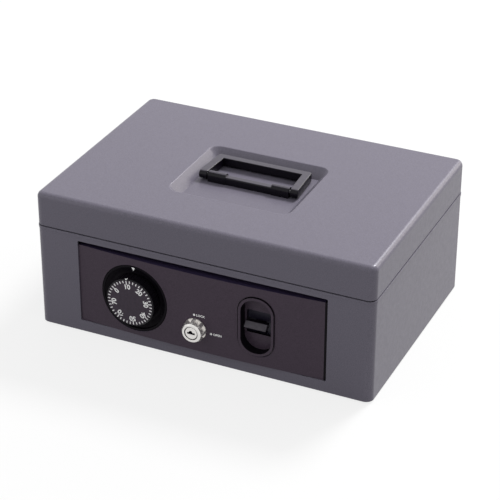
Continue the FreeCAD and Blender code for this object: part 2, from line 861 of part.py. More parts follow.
def make_latch_plate():
    latch = front_body("latch_plate")
    back = latch_front - latch_thick
    fence_high = fence_low + 7.5
    arm_left = d.dial_x - 6
    left = d.slide_x - 14
    right = d.slide_x + 14
    top = d.mech_high - 3.5
    shape = [
        (arm_left, fence_low),
        (left, fence_low),
        (left, latch_low),
        (right, latch_low),
        (right, top),
        (left, top),
        (left, fence_high),
        (arm_left, fence_high),
    ]
    add(latch, "XY", back, latch_thick, polygon(shape))
    for x, z in stud_places:
        cut(
            latch,
            "XY",
            latch_front,
            latch_thick,
            rounded(x - 2.15, x + 2.15, z - 2.3, z + d.slide_travel + 2.3, 2.1),
        )
    add(
        latch,
        "XY",
        latch_front,
        -(striker_front + d.wall + 0.4) - latch_front,
        rectangle(d.slide_x - 5, d.slide_x + 5, d.mech_high - 9, d.mech_high - 5),
    )
    fence_back = wheel_front(2) - d.wheel_thick - 0.5
    add(
        latch,
        "XY",
        fence_back,
        back - fence_back,
        rectangle(d.dial_x - 2, d.dial_x + 2, fence_low, fence_low + 5),
    )
    fence_front = wheel_front(0) + 0.5
    add(
        latch,
        "XY",
        latch_front,
        fence_front - latch_front,
        rectangle(d.dial_x - 2, d.dial_x + 2, fence_low, fence_low + 5),
    )


def make_latch_studs():
    studs = front_body("latch_studs")
    head = latch_front - latch_thick - 0.4
    stud_group(
        studs,
        stud_places,
        [(3.4, head - 1.2, head), (2, head, latch_front + 0.3), (3.4, latch_front + 0.3, plate_back)],
    )


def make_slide_spring():
    """A coil of quarter-turn arcs, standing on the lock plate's lip under the latch plate."""
    coil = 3
    wire = 0.45
    low = (latch_low - 14 + wire).number + 0.02
    high = (latch_low - wire).number - 0.3
    axis = (d.slide_x.number, front_y.number - (latch_front - latch_thick / 2).number)
    steps = SPRING_TURNS * 8

    def at(step):
        angle = step * math.pi / 4
        z = low + (high - low) * step / steps
        return FreeCAD.Vector(axis[0] + coil * math.cos(angle), axis[1] + coil * math.sin(angle), z)

    edges = [Part.Arc(at(k), at(k + 1), at(k + 2)).toShape() for k in range(0, steps, 2)]
    path = Part.Wire(edges)
    start = edges[0].tangentAt(edges[0].FirstParameter)
    ring = Part.Wire(Part.makeCircle(wire, at(0), start))
    feature = doc.addObject("Part::Feature", "slide_spring")
    feature.Label = "slide_spring"
    feature.Shape = path.makePipeShell([ring], True, False)
    nodes["slide_spring"] = feature


def make_lock_housing():
    housing = front_body("lock_housing", d.lock_x, d.lock_z, 180 / LOCK_NOTCHES)
    bore = d.plug_radius + FIT
    seat = panel_apex + 0.02
    face = d.front_proud
    rim = d.lock_base_radius
    ring = bore + 1.4
    turn(
        housing,
        [
            (bore, -22),
            (d.lock_body_radius, -22),
            (d.lock_body_radius, seat),
            (rim, seat),
            (rim, seat + 1),
            (rim - 0.5, face - 0.9),
            (rim - 1.4, face),
            (ring, face),
            (ring - 0.2, face - 1),
            (bore, face - 1),
        ],
    )
    flute = cut(housing, "XY", face - 1.1, face - seat - 2, disc(0, rim + 1, 2.8))
    repeat_round(housing, flute, LOCK_NOTCHES)


def make_lock_plug():
    plug = front_body("lock_plug", d.lock_x, d.lock_z)
    front = d.front_proud - 0.4
    tail = -24.6
    add(plug, "XY", -22.3, front + 22.3, disc(0, 0, d.plug_radius))
    round_edges(plug, 0.4, lambda edge, middle: abs(middle.z - front.number) < 0.01)
    add(plug, "XY", tail, 2.3, disc(0, 0, 3))
    cut(plug, "XY", front, 14, rectangle(-3.6, 3.6, -1, 0.8))
    cut(plug, "XY", front, 14, disc(-0.4, 0.8, 1.6))
    cut(plug, "XY", tail + 6, 6, disc(0, 0, 1.52))


def make_lock_cam():
    cam = front_body("lock_cam", d.lock_x, d.lock_z)
    back = -24.6
    add(cam, "XY", back, 2, disc(0, 0, 7))
    add(cam, "XY", back, 2, rounded(0, 20, -4.5, 4.5, 4.2))
    cut(cam, "XY", back + 2, 2, disc(0, 0, 3))


def make_lock_cam_screw():
    screw = front_body("lock_cam_screw", d.lock_x, d.lock_z)
    seat = -24.6
    add(screw, "XY", seat - 2.2, 2.2, disc(0, 0, 4.2))
    round_edges(screw, 1, lambda edge, middle: abs(middle.z - seat + 2.2) < 0.01)
    add(screw, "XY", seat, 5.6, disc(0, 0, 1.5))


def make_lock_nut():
    nut = front_body("lock_nut", d.lock_x, d.lock_z)
    add(nut, "XY", plate_back - 4, 4, hexagon(13.5), disc(0, 0, d.lock_body_radius + 0.03))


# Lid, its hinges and its catch


def pocket_plan(grow):
    """The handle pocket's outline from above, moved outwards."""
    return rounded(
        -d.pocket_half - grow,
        d.pocket_half + grow,
        front_y + d.pocket_front - grow,
        front_y + d.pocket_back + grow,
        d.pocket_slope + 1.5 + grow,
    )


def make_lid_shell():
    lid = new_body("lid_shell")
    height = d.lid_top - d.lid_bottom
    top = d.lid_top.number
    ceiling = top - d.wall.number
    add(lid, "XY", d.lid_bottom, height, plan(0))
    cut(lid, "XY", d.lid_top - d.wall, height - d.wall, plan(d.wall))
    round_edges(lid, d.lid_edge_radius - d.wall, lambda edge, middle: abs(middle.z - ceiling) < 0.01)
    round_edges(lid, d.lid_edge_radius, lambda edge, middle: abs(middle.z - top) < 0.01)
    floor = d.lid_top - d.pocket_depth
    lean = d.pocket_slope / d.pocket_depth
    skin = d.wall * 1.1
    loft(
        lid,
        "AdditiveLoft",
        [
            (d.lid_top - d.wall, pocket_plan(skin - d.wall * lean)),
            (floor - d.wall, pocket_plan(skin - d.pocket_slope - d.wall * lean)),
        ],
    )
    loft(
        lid,
        "SubtractiveLoft",
        [(d.lid_top + 0.5, pocket_plan(lean * 0.5)), (floor, pocket_plan(-d.pocket_slope))],
    )
    reach = d.pocket_half.number + 2
    round_edges(
        lid,
        d.pocket_lip,
        lambda edge, middle: abs(middle.z - top) < 0.01 and max(abs(middle.x), abs(middle.y)) < reach,
    )
    cut(lid, "XZ", 3 - back_y, 5, *[disc(x, lid_rivet_z, RIVET_HOLE) for x in leaf_rivets])
    cut(lid, "XY", floor + 1, d.wall + 2, *[disc(x, front_y + d.handle_axis, 2.1) for x in HANDLE_SCREWS])


HANDLE_SCREWS = (-14, 14)


def make_lid_striker():
    striker = new_body("lid_striker")
    skin = front_y + d.wall
    leg = front_y + striker_front
    low = d.mech_high - 13
    bend = d.collar_high + 2.4
    profile = [
        (skin, bend + 15),
        (skin + d.wall, bend + 15),
        (skin + d.wall, bend + d.wall),
        (leg + d.wall, bend + d.wall),
        (leg + d.wall, low),
        (leg, low),
        (leg, bend),
        (skin, bend),
    ]
    add(striker, "YZ", d.slide_x - 12, 24, polygon(profile))
    cut(
        striker,
        "XZ",
        1 - leg,
        4,
        rounded(d.slide_x - 7, d.slide_x + 7, d.mech_high - 10, d.mech_high - 4, 1),
    )


barrel_y = back_y + d.rear_proud - d.barrel_radius
barrel_z = (d.body_top + d.lid_bottom) / 2
KNUCKLE = 8.8
KNUCKLE_GAP = 0.35


def knuckles(first):
    """Start of every other knuckle along a hinge, from its left end."""
    return [k * KNUCKLE for k in range(first, 5, 2)]


def make_hinge_leaf(label, side, on_lid):
    leaf = new_body(label)
    left = side * d.hinge_x - d.hinge_half
    clear = d.barrel_radius + 0.3
    bore = d.hinge_pin_radius + (0.06 if on_lid else 0.02)
    if on_lid:
        low, high = barrel_z + clear, lid_leaf_high
        web_low, web_high = barrel_z, barrel_z + clear + 1
    else:
        low, high = body_leaf_low, barrel_z - clear
        web_low, web_high = barrel_z - clear - 1, barrel_z
    add(leaf, "YZ", left, d.hinge_half * 2, rectangle(back_y, back_y + d.leaf_thick, low, high))
    outer_z = high if on_lid else low
    round_edges(
        leaf,
        4,
        lambda edge, middle: abs(middle.z - outer_z.number) < 0.01
        and abs(edge.Length - d.leaf_thick.number) < 0.01,
    )
    web = rectangle(back_y + 0.6, back_y + 2.1, web_low, web_high)
    gap = KNUCKLE_GAP / 2
    for start in knuckles(1 if on_lid else 0):
        add(leaf, "YZ", left + start + gap, KNUCKLE - KNUCKLE_GAP, web)
        add(leaf, "YZ", left + start + gap, KNUCKLE - KNUCKLE_GAP, disc(barrel_y, barrel_z, d.barrel_radius))
    cut(leaf, "YZ", left + d.hinge_half * 2 + 1, d.hinge_half * 2 + 2, disc(barrel_y, barrel_z, bore))
    hole_z = lid_rivet_z if on_lid else body_rivet_z
    holes = [disc(side * d.hinge_x + offset, hole_z, RIVET_HOLE) for offset in (-14, 0, 14)]
    cut(leaf, "XZ", 1 - back_y, 4, *holes)


def make_hinge_pin(label, side):
    pin = new_body(label)
    left = side * d.hinge_x - d.hinge_half
    add(pin, "YZ", left, d.hinge_half * 2, disc(barrel_y, barrel_z, d.hinge_pin_radius))
    for start in (left - 0.8, left + d.hinge_half * 2):
        add(pin, "YZ", start, 0.8, disc(barrel_y, barrel_z, d.hinge_pin_radius + 0.6))


def make_rivets(label, height):
    rivets = front_body(label)
    outer = -(d.box_depth + d.leaf_thick)
    inner = d.wall - d.box_depth
    places = [(x, height) for x in leaf_rivets]
    add(rivets, "XY", outer - 1.1, 1.1, *[disc(x, z, 2.8) for x, z in places])
    round_edges(rivets, 0.9, lambda edge, middle: abs(middle.z - outer.number + 1.1) < 0.01)
    add(rivets, "XY", outer, inner - outer, *[disc(x, z, RIVET_SHANK) for x, z in places])
    add(rivets, "XY", inner, 0.7, *[disc(x, z, 2.4) for x, z in places])


# Handle

handle_y = front_y + d.handle_axis
handle_z = d.lid_top - d.bail_thick / 2
pocket_floor = d.lid_top - d.pocket_depth
base_half = d.bail_front_half - d.bail_width - 1.5
BARREL_LENGTH = 16.5


def make_handle_base():
    base = new_body("handle_base")
    barrel = d.bail_thick / 2
    low_top = d.lid_top - 2.2
    middle_half = base_half - BARREL_LENGTH
    add(
        base,
        "YZ",
        -base_half,
        base_half * 2,
        rectangle(handle_y - barrel + 0.6, handle_y + barrel - 0.9, pocket_floor, low_top),
    )
    round_edges(base, 1.4, lambda edge, middle: abs(middle.z - low_top.number) < 0.01 and edge.Length > 20)
    for start in (-base_half, middle_half):
        add(
            base,
            "YZ",
            start,
            BARREL_LENGTH,
            rectangle(handle_y - barrel, handle_y + barrel, pocket_floor, handle_z),
        )
        add(base, "YZ", start, BARREL_LENGTH, disc(handle_y, handle_z, barrel))
        bore = d.handle_pin_radius + 0.02
        end = start + BARREL_LENGTH + 1
        cut(base, "YZ", end, BARREL_LENGTH + 2, disc(handle_y, handle_z, bore))
    cut(base, "XY", pocket_floor + 5, 6, *[disc(x, handle_y, 1.95) for x in HANDLE_SCREWS])


def make_handle_bail():
    bail = new_body("handle_bail")
    front = handle_y - d.bail_thick / 2
    back = handle_y + d.handle_reach
    outer = [
        (-d.bail_front_half, front),
        (d.bail_front_half, front),
        (d.bail_back_half, back),
        (-d.bail_back_half, back),
    ]
    inner_front = d.bail_front_half - d.bail_width
    inner_back = d.bail_back_half - d.bail_width
    inner = [
        (-inner_front, front - 5),
        (inner_front, front - 5),
        (inner_back, back - d.bail_width),
        (-inner_back, back - d.bail_width),
    ]
    low = d.lid_top - d.bail_thick
    add(bail, "XY", low, d.bail_thick, polygon(outer))
    cut(bail, "XY", d.lid_top, d.bail_thick, polygon(inner))
    nose = front.number
    round_edges(
        bail,
        d.bail_thick / 2 - 0.05,
        lambda edge, middle: abs(middle.y - nose) < 0.01
        and min(abs(middle.z - low.number), abs(middle.z - d.lid_top.number)) < 0.01,
    )
    tail = back.number
    round_edges(
        bail,
        2.5,
        lambda edge, middle: abs(middle.y - tail) < 0.01 and abs(middle.z - handle_z.number) < 0.01,
    )
    round_edges(
        bail,
        0.7,
        lambda edge, middle: min(abs(middle.z - low.number), abs(middle.z - d.lid_top.number)) < 0.01
        and edge.Length > 15,
    )
    reach = d.bail_front_half - 2
    bore = d.handle_pin_radius + 0.06
    cut(bail, "YZ", reach, reach * 2, disc(handle_y, handle_z, bore))


def make_handle_pins():
    pins = new_body("handle_pins")
    length = 15
    outer = d.bail_front_half - 2.3
    for start in (-outer, outer - length):
        add(pins, "YZ", start, length, disc(handle_y, handle_z, d.handle_pin_radius))


def make_handle_plate():
    plate = new_body("handle_plate")
    top = pocket_floor - d.wall
    add(plate, "XY", top - 1.5, 1.5, rounded(-40, 40, handle_y - 11, handle_y + 11, 3))
    cut(plate, "XY", top, 1.5, *[disc(x, handle_y, 2.1) for x in HANDLE_SCREWS])


def make_handle_screws():
    screws = new_body("handle_screws")
    seat = pocket_floor - d.wall - 1.5
    places = [(x, handle_y) for x in HANDLE_SCREWS]
    add(screws, "XY", seat - 2.4, 2.4, *[disc(x, y, 4) for x, y in places])
    round_edges(screws, 1.1, lambda edge, middle: abs(middle.z - seat.number + 2.4) < 0.01)
    add(screws, "XY", seat, 7, *[disc(x, y, 1.9) for x, y in places])


# Coin tray


def tray_ends():
    return front_y + d.tray_front, front_y + d.tray_back


def tray_split():
    """Front face of the long divider."""
    front, back = tray_ends()
    return front + (back - front) * 0.42


def make_coin_tray():
    tray = new_body("coin_tray")
    front, back = tray_ends()
    thick = d.tray_wall
    add(tray, "XY", d.tray_low, d.tray_high - d.tray_low, rounded(-d.tray_half, d.tray_half, front, back, 6))
    cut(
        tray,
        "XY",
        d.tray_high,
        d.tray_high - d.tray_low - thick,
        rounded(thick - d.tray_half, d.tray_half - thick, front + thick, back - thick, 4),
    )
    grip = disc((front + back) / 2 + 14, d.tray_high + 6, 18)
    for start in (d.tray_half + 1, 3 - d.tray_half):
        cut(tray, "YZ", start, 4, grip)


def make_tray_dividers():
    """One long plate and short ones in front of it, standing loose on the tray's floor."""
    dividers = new_body("tray_dividers")
    front, _ = tray_ends()
    inner = d.tray_half - d.tray_wall - FIT
    split = tray_split()
    low = d.tray_low + d.tray_wall + 0.02
    high = d.tray_high - 2
    cell = (inner * 2 - d.divider_thick * (COIN_CELLS - 1)) / COIN_CELLS
    plates = [rectangle(-inner, inner, split, split + d.divider_thick)]
    for number in range(1, COIN_CELLS):
        left = (cell + d.divider_thick) * number - d.divider_thick - inner
        plates.append(rectangle(left, left + d.divider_thick, front + d.tray_wall + FIT, split - FIT))
    add(dividers, "XY", low, high - low, *plates)


def build():
    make_body_shell()
    make_bottom_plate()
    make_rim_collar()
    make_feet()
    make_tray_rail("tray_rail_left", -1)
    make_tray_rail("tray_rail_right", 1)
    make_front_panel()
    make_dial_ring()
    make_dial_knob()
    make_dial_face()
    make_dial_spindle()
    make_wheel_post()
    make_wheel_spacers()
    for number in range(3):
        make_tumbler_wheel(number)
    make_drive_cam()
    make_spindle_nut()
    make_lock_plate()
    make_cover_posts()
    make_mechanism_cover()
    make_cover_screws()
    make_slide_bezel()
    make_slide_button()
    make_latch_plate()
    make_latch_studs()
    make_slide_spring()
    make_lock_housing()
    make_lock_plug()
    make_lock_cam()
    make_lock_cam_screw()
    make_lock_nut()
    make_lid_shell()
    make_lid_striker()
    for name, side in (("left", -1), ("right", 1)):
        make_hinge_leaf(f"hinge_body_leaf_{name}", side, on_lid=False)
        make_hinge_leaf(f"hinge_lid_leaf_{name}", side, on_lid=True)
        make_hinge_pin(f"hinge_pin_{name}", side)
    make_rivets("hinge_body_rivets", body_rivet_z)
    make_rivets("hinge_lid_rivets", lid_rivet_z)
    make_handle_base()
    make_handle_bail()
    make_handle_pins()
    make_handle_plate()
    make_handle_screws()
    make_coin_tray()
    make_tray_dividers()


def export():
    doc.recompute()
    for item in doc.Objects:
        if "Invalid" in item.State or "Error" in item.State:
            raise RuntimeError(f"{item.Label} failed: {item.State}")
    for label, item in nodes.items():
        if item.Shape.isNull() or not item.Shape.isValid():
            raise RuntimeError(f"{label} has no valid shape")
    os.makedirs("parts", exist_ok=True)
    for label, item in nodes.items():
        item.Shape.exportStep(f"parts/{label}.step")


build()
export()
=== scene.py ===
"""Looks of a grey steel cash box: finishes, printed dial, key lock marks and a studio stage."""

import json
import math

import bpy
from bpy.props import FloatProperty, FloatVectorProperty, PointerProperty
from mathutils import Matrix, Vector


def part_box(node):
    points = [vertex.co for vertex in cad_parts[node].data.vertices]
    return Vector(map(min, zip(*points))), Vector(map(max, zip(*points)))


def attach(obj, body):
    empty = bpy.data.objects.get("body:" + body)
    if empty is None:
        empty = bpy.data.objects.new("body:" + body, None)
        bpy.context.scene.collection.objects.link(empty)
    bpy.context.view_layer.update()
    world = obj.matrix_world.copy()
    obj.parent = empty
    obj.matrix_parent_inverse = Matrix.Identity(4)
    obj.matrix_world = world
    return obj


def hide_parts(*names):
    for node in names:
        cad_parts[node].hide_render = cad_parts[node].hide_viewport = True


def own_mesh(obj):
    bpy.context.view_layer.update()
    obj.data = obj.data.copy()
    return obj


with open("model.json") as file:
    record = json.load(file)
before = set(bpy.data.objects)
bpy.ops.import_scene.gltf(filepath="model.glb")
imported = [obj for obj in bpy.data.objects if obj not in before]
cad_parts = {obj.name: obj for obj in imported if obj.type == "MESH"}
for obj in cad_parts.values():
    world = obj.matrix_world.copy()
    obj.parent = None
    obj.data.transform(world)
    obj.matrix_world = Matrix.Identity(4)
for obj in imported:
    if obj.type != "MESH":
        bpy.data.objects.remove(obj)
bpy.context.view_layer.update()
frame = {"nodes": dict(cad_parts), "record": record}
MM = 0.001

bl_info = {
    "name": "Cash Box",
    "version": (1, 0, 0),
    "blender": (4, 5, 0),
    "location": "View3D > Sidebar > Cash Box",
    "description": "Finishes, printed marks and a studio stage for a steel cash box",
    "category": "Object",
}

BODY_OF = {
    node: body for body, members in frame["record"]["behaviour"]["bodies"].items() for node in members
}
SLOT_OF = {entry["node"]: entry["material_slot"] for entry in frame["record"]["subparts"]}


def colour_property(name, description, default):
    return FloatVectorProperty(
        name=name, description=description, default=default, subtype="COLOR", size=3, min=0, max=1
    )


def length_property(name, description, default):
    return FloatProperty(name=name, description=description, default=default, unit="LENGTH")


class CashBoxColours(bpy.types.PropertyGroup):
    """Colours of the finishes"""

    paint: colour_property("Paint", "Grey metallic paint of body and lid", (0.119, 0.110, 0.141))
    inside: colour_property("Inside", "Paint inside the box", (0.100, 0.096, 0.106))
    panel: colour_property("Panel", "Dark front panel", (0.046, 0.032, 0.048))
    # Painted shade: dark colour for the panel's upward faces, which lie in the shade of the wall above
    edge: colour_property("Edge", "Shaded upper edge of the panel", (0.022, 0.016, 0.040))
    plastic: colour_property("Plastic", "Black moulded plastic", (0.003, 0.002, 0.005))
    # Painted light: a much lighter colour for the handle's upward faces, standing for the light
    # falling on top; the grain is in roughness and bump
    grip: colour_property("Grip", "Grained upper side of the handle", (0.036, 0.031, 0.045))
    # Also used as painted shade: the panel's right end, the slide cup's inner walls and the thumb
    # piece's deep and downward faces
    ring: colour_property("Ring", "Dull black dial ring", (0.004, 0.003, 0.005))
    dial: colour_property("Dial", "Dial face", (0.038, 0.028, 0.041))
    slide: colour_property("Slide", "Thumb slide", (0.056, 0.050, 0.061))
    tray: colour_property("Tray", "Coin tray", (0.04, 0.04, 0.043))
    ink: colour_property("Ink", "Printed marks", (0.90, 0.90, 0.90))
    nickel: colour_property("Nickel", "Key lock plating", (0.78, 0.76, 0.74))
    zinc: colour_property("Zinc", "Plated steel of the mechanism", (0.55, 0.56, 0.57))
    # Also used as painted shade: the collar's outer faces and the key lock's keyway and groove
    oxide: colour_property("Oxide", "Blackened steel of lock and latch plate", (0.010, 0.008, 0.018))
    brass: colour_property("Brass", "Tumbler wheels", (0.62, 0.44, 0.18))
    rubber: colour_property("Rubber", "Feet", (0.025, 0.025, 0.025))


class CashBoxSizes(bpy.types.PropertyGroup):
    """Sizes of the printed marks"""

    numeral_height: length_property("Numeral height", "Height of the dial's numbers", 4.3 * MM)
    numeral_radius: length_property("Numeral radius", "Middle of the dial's numbers", 15.0 * MM)
    tick_outer: length_property("Tick end", "Outer end of the dial's ticks", 20.95 * MM)
    tick_short: length_property("Short tick", "Length of a tick", 2.3 * MM)
    tick_long: length_property("Long tick", "Length of a tick at a number", 3.6 * MM)
    tick_width: length_property("Tick width", "Width of a tick", 0.85 * MM)
    index_width: length_property("Index width", "Width of the triangle above the dial", 3.6 * MM)
    index_radius: length_property("Index radius", "Middle of the triangle above the dial", 29.0 * MM)
    stroke: length_property("Stroke", "Extra stroke of the dial's numbers", 0.2 * MM)
    dot_radius: length_property("Dot radius", "Dots beside the key lock", 1.05 * MM)
    pointer_radius: length_property("Pointer radius", "Dot on the edge of the dial knob", 1.2 * MM)
    word_height: length_property("Word height", "Words beside the key lock", 2.1 * MM)


# Places on the frame


def middle(node):
    low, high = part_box(node)
    return (low + high) / 2


DIAL = middle("dial_face")
DIAL_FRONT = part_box("dial_face")[0].y
LOCK = middle("lock_plug")

# Printed marks

INK_LIFT = 0.04 * MM
CAPITAL_SHARE = 0.7
DIAL_REACH = 20 * MM
DIAL_STEPS = 40
DIAL_TURN = math.radians(-8.4)
NUMBERS = [0, 10, 20, 30, 40, 50, 60, 70]
KNOB_DOT_BACK = 0.15 * MM
DOT_SIDES = 16
INDEX_BACK = 0.95 * MM
INDEX_DEPTH = 1 * MM
INDEX_BEVEL = 0.15 * MM
KEY_MARKS = [("LOCK", -1.0 * MM, 13.4 * MM), ("OPEN", 14.6 * MM, -1.6 * MM)]
WORD_GAP = 1.8
WORD_STROKE = 0.08 * MM

# Where a piece has a second finish, painted shade and painted light among them, or is drawn in

OUTWARD = 0.02
UPPER = 0.7
LEVEL = 0.9
STEEP = 0.6
PANEL_HALF = 113.5 * MM
# Width of the strip at the panel's right end that carries painted shadow
PANEL_END = 1.2 * MM
KNOB_EDGE = 0.8 * MM
KEYWAY_BACK = 0.4 * MM
KEYWAY_REACH = 4.6 * MM
GROOVE_REACH = 7 * MM
COLLAR_INSIDE = 6.5 * MM
COLLAR_TAPER = 0.91
COLLAR_TAPER_DEPTH = 1.5 * MM
BEZEL_RIM = 1.2 * MM
BUTTON_FRONT = 4 * MM
BUTTON_HOLD = 2 * MM
BUTTON_WIDTH = 0.88
LIP_HEIGHT = 1.4 * MM
LIP_LIFT = 1.5 * MM


def from_lock(place):
    """Distance of a point from the key lock's axis."""
    return math.hypot(place.x - LOCK.x, place.z - LOCK.z)


# Node helpers


class Finish:
    """A node material with a few short ways to wire it."""

    def __init__(self, name, colour, roughness, metallic=0.0, specular=0.5):
        self.material = bpy.data.materials.new(name)
        self.material.use_nodes = True
        self.tree = self.material.node_tree
        self.shader = self.tree.nodes["Principled BSDF"]
        self.shader.inputs["Base Color"].default_value = (*colour, 1)
        self.shader.inputs["Roughness"].default_value = roughness
        self.shader.inputs["Metallic"].default_value = metallic
        self.shader.inputs["Specular IOR Level"].default_value = specular
        self.place = self.add("ShaderNodeTexCoord").outputs["Object"]

    def add(self, kind, **values):
        node = self.tree.nodes.new(kind)
        for key, value in values.items():
            setattr(node, key, value)
        return node

    def join(self, output, target):
        self.tree.links.new(output, target)

    def noise(self, scale, detail=2.0, roughness=0.5):
        node = self.add("ShaderNodeTexNoise")
        self.join(self.place, node.inputs["Vector"])
        node.inputs["Scale"].default_value = scale
        node.inputs["Detail"].default_value = detail
        node.inputs["Roughness"].default_value = roughness
        return node.outputs["Fac"]

    def ramp(self, source, low, high, start=0.0, end=1.0):
        node = self.add("ShaderNodeMapRange")
        self.join(source, node.inputs["Value"])
        for name, value in (("From Min", start), ("From Max", end), ("To Min", low), ("To Max", high)):
            node.inputs[name].default_value = value
        return node.outputs["Result"]

    def shade(self, source, colour, dark, light, start=0.35, end=0.65):
        """Vary the base colour between a darker and a lighter tone."""
        node = self.add("ShaderNodeValToRGB")
        self.join(source, node.inputs["Fac"])
        stops = node.color_ramp.elements
        stops[0].position = start
        stops[1].position = end
        stops[0].color = (*[c * dark for c in colour], 1)
        stops[1].color = (*[min(c * light, 1) for c in colour], 1)
        self.join(node.outputs["Color"], self.shader.inputs["Base Color"])

    def vary_roughness(self, source, low, high):
        self.join(self.ramp(source, low, high, 0.3, 0.7), self.shader.inputs["Roughness"])

    def bump(self, source, strength, distance):
        node = self.add("ShaderNodeBump")
        self.join(source, node.inputs["Height"])
        node.inputs["Strength"].default_value = strength
        node.inputs["Distance"].default_value = distance
        self.join(node.outputs["Normal"], self.shader.inputs["Normal"])


def make_finishes(colours):
    """All materials of the box, by material slot."""
    finishes = {}

    def keep(slot, finish):
        finishes[slot] = finish.material

    paint = Finish("grey_metallic_paint", colours.paint, 0.33, 0.05, 0.22)
    paint.shade(paint.noise(1400, 2, 0.6), colours.paint, 0.84, 1.16)
    paint.vary_roughness(paint.noise(240, 3), 0.29, 0.37)
    paint.bump(paint.noise(900, 2), 0.08, 0.06 * MM)
    keep("body_paint", paint)
    keep("hinge_paint", paint)

    inside = Finish("inside_paint", colours.inside, 0.5, 0.05, 0.25)
    inside.shade(inside.noise(1100, 2), colours.inside, 0.88, 1.12)
    inside.vary_roughness(inside.noise(160, 3), 0.45, 0.56)
    inside.bump(inside.noise(700, 2), 0.15, 0.06 * MM)
    keep("inner_paint", inside)

    panel = Finish("panel_paint", colours.panel, 0.45, 0.0, 0.2)
    panel.shade(panel.noise(1200, 2), colours.panel, 0.85, 1.15)
    panel.vary_roughness(panel.noise(200, 3), 0.40, 0.50)
    panel.bump(panel.noise(1500, 2), 0.15, 0.04 * MM)
    keep("panel_paint", panel)

    for slot, name, colour, gloss, specular in (
        # The panel's upper face: painted shade
        ("edge", "panel_top_painted_shade", colours.edge, 0.5, 0.1),
        ("black_plastic", "black_moulding", colours.plastic, 0.30, 0.2),
        # Handle tops: grained moulding with painted light in its colour
        ("grip", "grained_moulding_painted_top_light", colours.grip, 0.38, 0.5),
        # Dull black of dial ring and knob, and painted shade elsewhere
        ("ring_plastic", "dull_black_moulding_and_painted_shade", colours.ring, 0.5, 0.06),
        ("dial_face", "dial_enamel", colours.dial, 0.42, 0.2),
        ("slide_plastic", "slide_moulding", colours.slide, 0.40, 0.2),
        ("tray_plastic", "tray_moulding", colours.tray, 0.5, 0.3),
        # Black oxide of the lock and latch plates, and painted shade elsewhere
        ("dark_steel", "black_oxide_and_painted_shade", colours.oxide, 0.45, 0.3),
    ):
        moulded = Finish(name, colour, gloss, 0.0, specular)
        moulded.shade(moulded.noise(420, 3), colour, 0.9, 1.12)
        moulded.vary_roughness(moulded.noise(260, 3), gloss - 0.05, gloss + 0.07)
        moulded.bump(moulded.noise(1800, 2), 0.12, 0.04 * MM)
        keep(slot, moulded)

    nickel = Finish("nickel_plating", colours.nickel, 0.30, 0.86)
    nickel.vary_roughness(nickel.noise(500, 3), 0.26, 0.34)
    nickel.bump(nickel.noise(900, 2), 0.05, 0.02 * MM)
    keep("nickel", nickel)

    zinc = Finish("zinc_plating", colours.zinc, 0.35, 1.0)
    zinc.shade(zinc.noise(90, 4), colours.zinc, 0.85, 1.1)
    zinc.vary_roughness(zinc.noise(300, 3), 0.28, 0.42)
    keep("zinc_steel", zinc)

    brass = Finish("turned_brass", colours.brass, 0.28, 1.0)
    brass.shade(brass.noise(120, 4), colours.brass, 0.85, 1.1)
    brass.vary_roughness(brass.noise(400, 3), 0.22, 0.36)
    keep("brass", brass)

    rubber = Finish("foot_rubber", colours.rubber, 0.8)
    rubber.shade(rubber.noise(600, 3), colours.rubber, 0.85, 1.2)
    rubber.bump(rubber.noise(1500, 2), 0.2, 0.05 * MM)
    keep("rubber", rubber)

    ink = Finish("white_print", colours.ink, 0.55)
    ink.shade(ink.noise(2500, 2), colours.ink, 0.93, 1.0)
    keep("ink", ink)
    return finishes


FINISHES = {}


# Modelling helpers


def only(piece):
    """Select one object and make it active."""
    bpy.ops.object.select_all(action="DESELECT")
    piece.select_set(True)
    bpy.context.view_layer.objects.active = piece


def edit(piece, *steps):
    """Run edit-mode steps on all of one object's mesh."""
    only(piece)
    bpy.ops.object.mode_set(mode="EDIT")
    bpy.ops.mesh.select_all(action="SELECT")
    for step in steps:
        step()
    bpy.ops.object.mode_set(mode="OBJECT")


def edit_where(piece, chosen, *steps):
    """Run edit-mode steps on the part of a mesh whose vertices are chosen by place."""
    only(piece)
    mesh = piece.data
    for vertex in mesh.vertices:
        vertex.select = chosen(vertex.co)
    for part in (*mesh.edges, *mesh.polygons):
        part.select = all(mesh.vertices[v].select for v in part.vertices)
    bpy.ops.object.mode_set(mode="EDIT")
    for step in steps:
        step()
    bpy.ops.object.mode_set(mode="OBJECT")


def wear(piece, slot):
    piece.data.materials.clear()
    piece.data.materials.append(FINISHES[slot])


def wear_where(piece, slot, chosen):
    """Give the faces that are chosen by middle and normal another finish."""
    piece.data.materials.append(FINISHES[slot])
    last = len(piece.data.materials) - 1
    for face in piece.data.polygons:
        if chosen(face.center, face.normal):
            face.material_index = last


def dress(node, bevel=0.0, smooth=35, corner=40):
    """A copy of a CAD piece with joined triangles, softened edges and its finish."""
    source = frame["nodes"][node]
    piece = bpy.data.objects.new("finished_" + node, source.data.copy())
    bpy.context.scene.collection.objects.link(piece)
    edit(
        piece,
        lambda: bpy.ops.mesh.remove_doubles(threshold=0.0005 * MM),
        lambda: bpy.ops.mesh.dissolve_limited(angle_limit=math.radians(0.2)),
    )
    if bevel:
        soften = piece.modifiers.new("soften", "BEVEL")
        soften.width = bevel
        soften.segments = 3
        soften.limit_method = "ANGLE"
        soften.angle_limit = math.radians(corner)
        only(piece)
        bpy.ops.object.modifier_apply(modifier="soften")
    only(piece)
    bpy.ops.object.shade_smooth_by_angle(angle=math.radians(smooth))
    flatten = piece.modifiers.new("flatten", "WEIGHTED_NORMAL")
    flatten.keep_sharp = True
    flatten.weight = 100
    bpy.ops.object.modifier_apply(modifier="flatten")
    wear(piece, SLOT_OF[node])
    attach(piece, BODY_OF[node])
    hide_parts(node)
    return piece


def printed(piece, name, node):
    """Finish a printed mark that lies on a node."""
    piece.name = name
    only(piece)
    bpy.ops.object.transform_apply(location=True, rotation=True, scale=True)
    wear(piece, "ink")
    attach(piece, BODY_OF[node])
    return piece


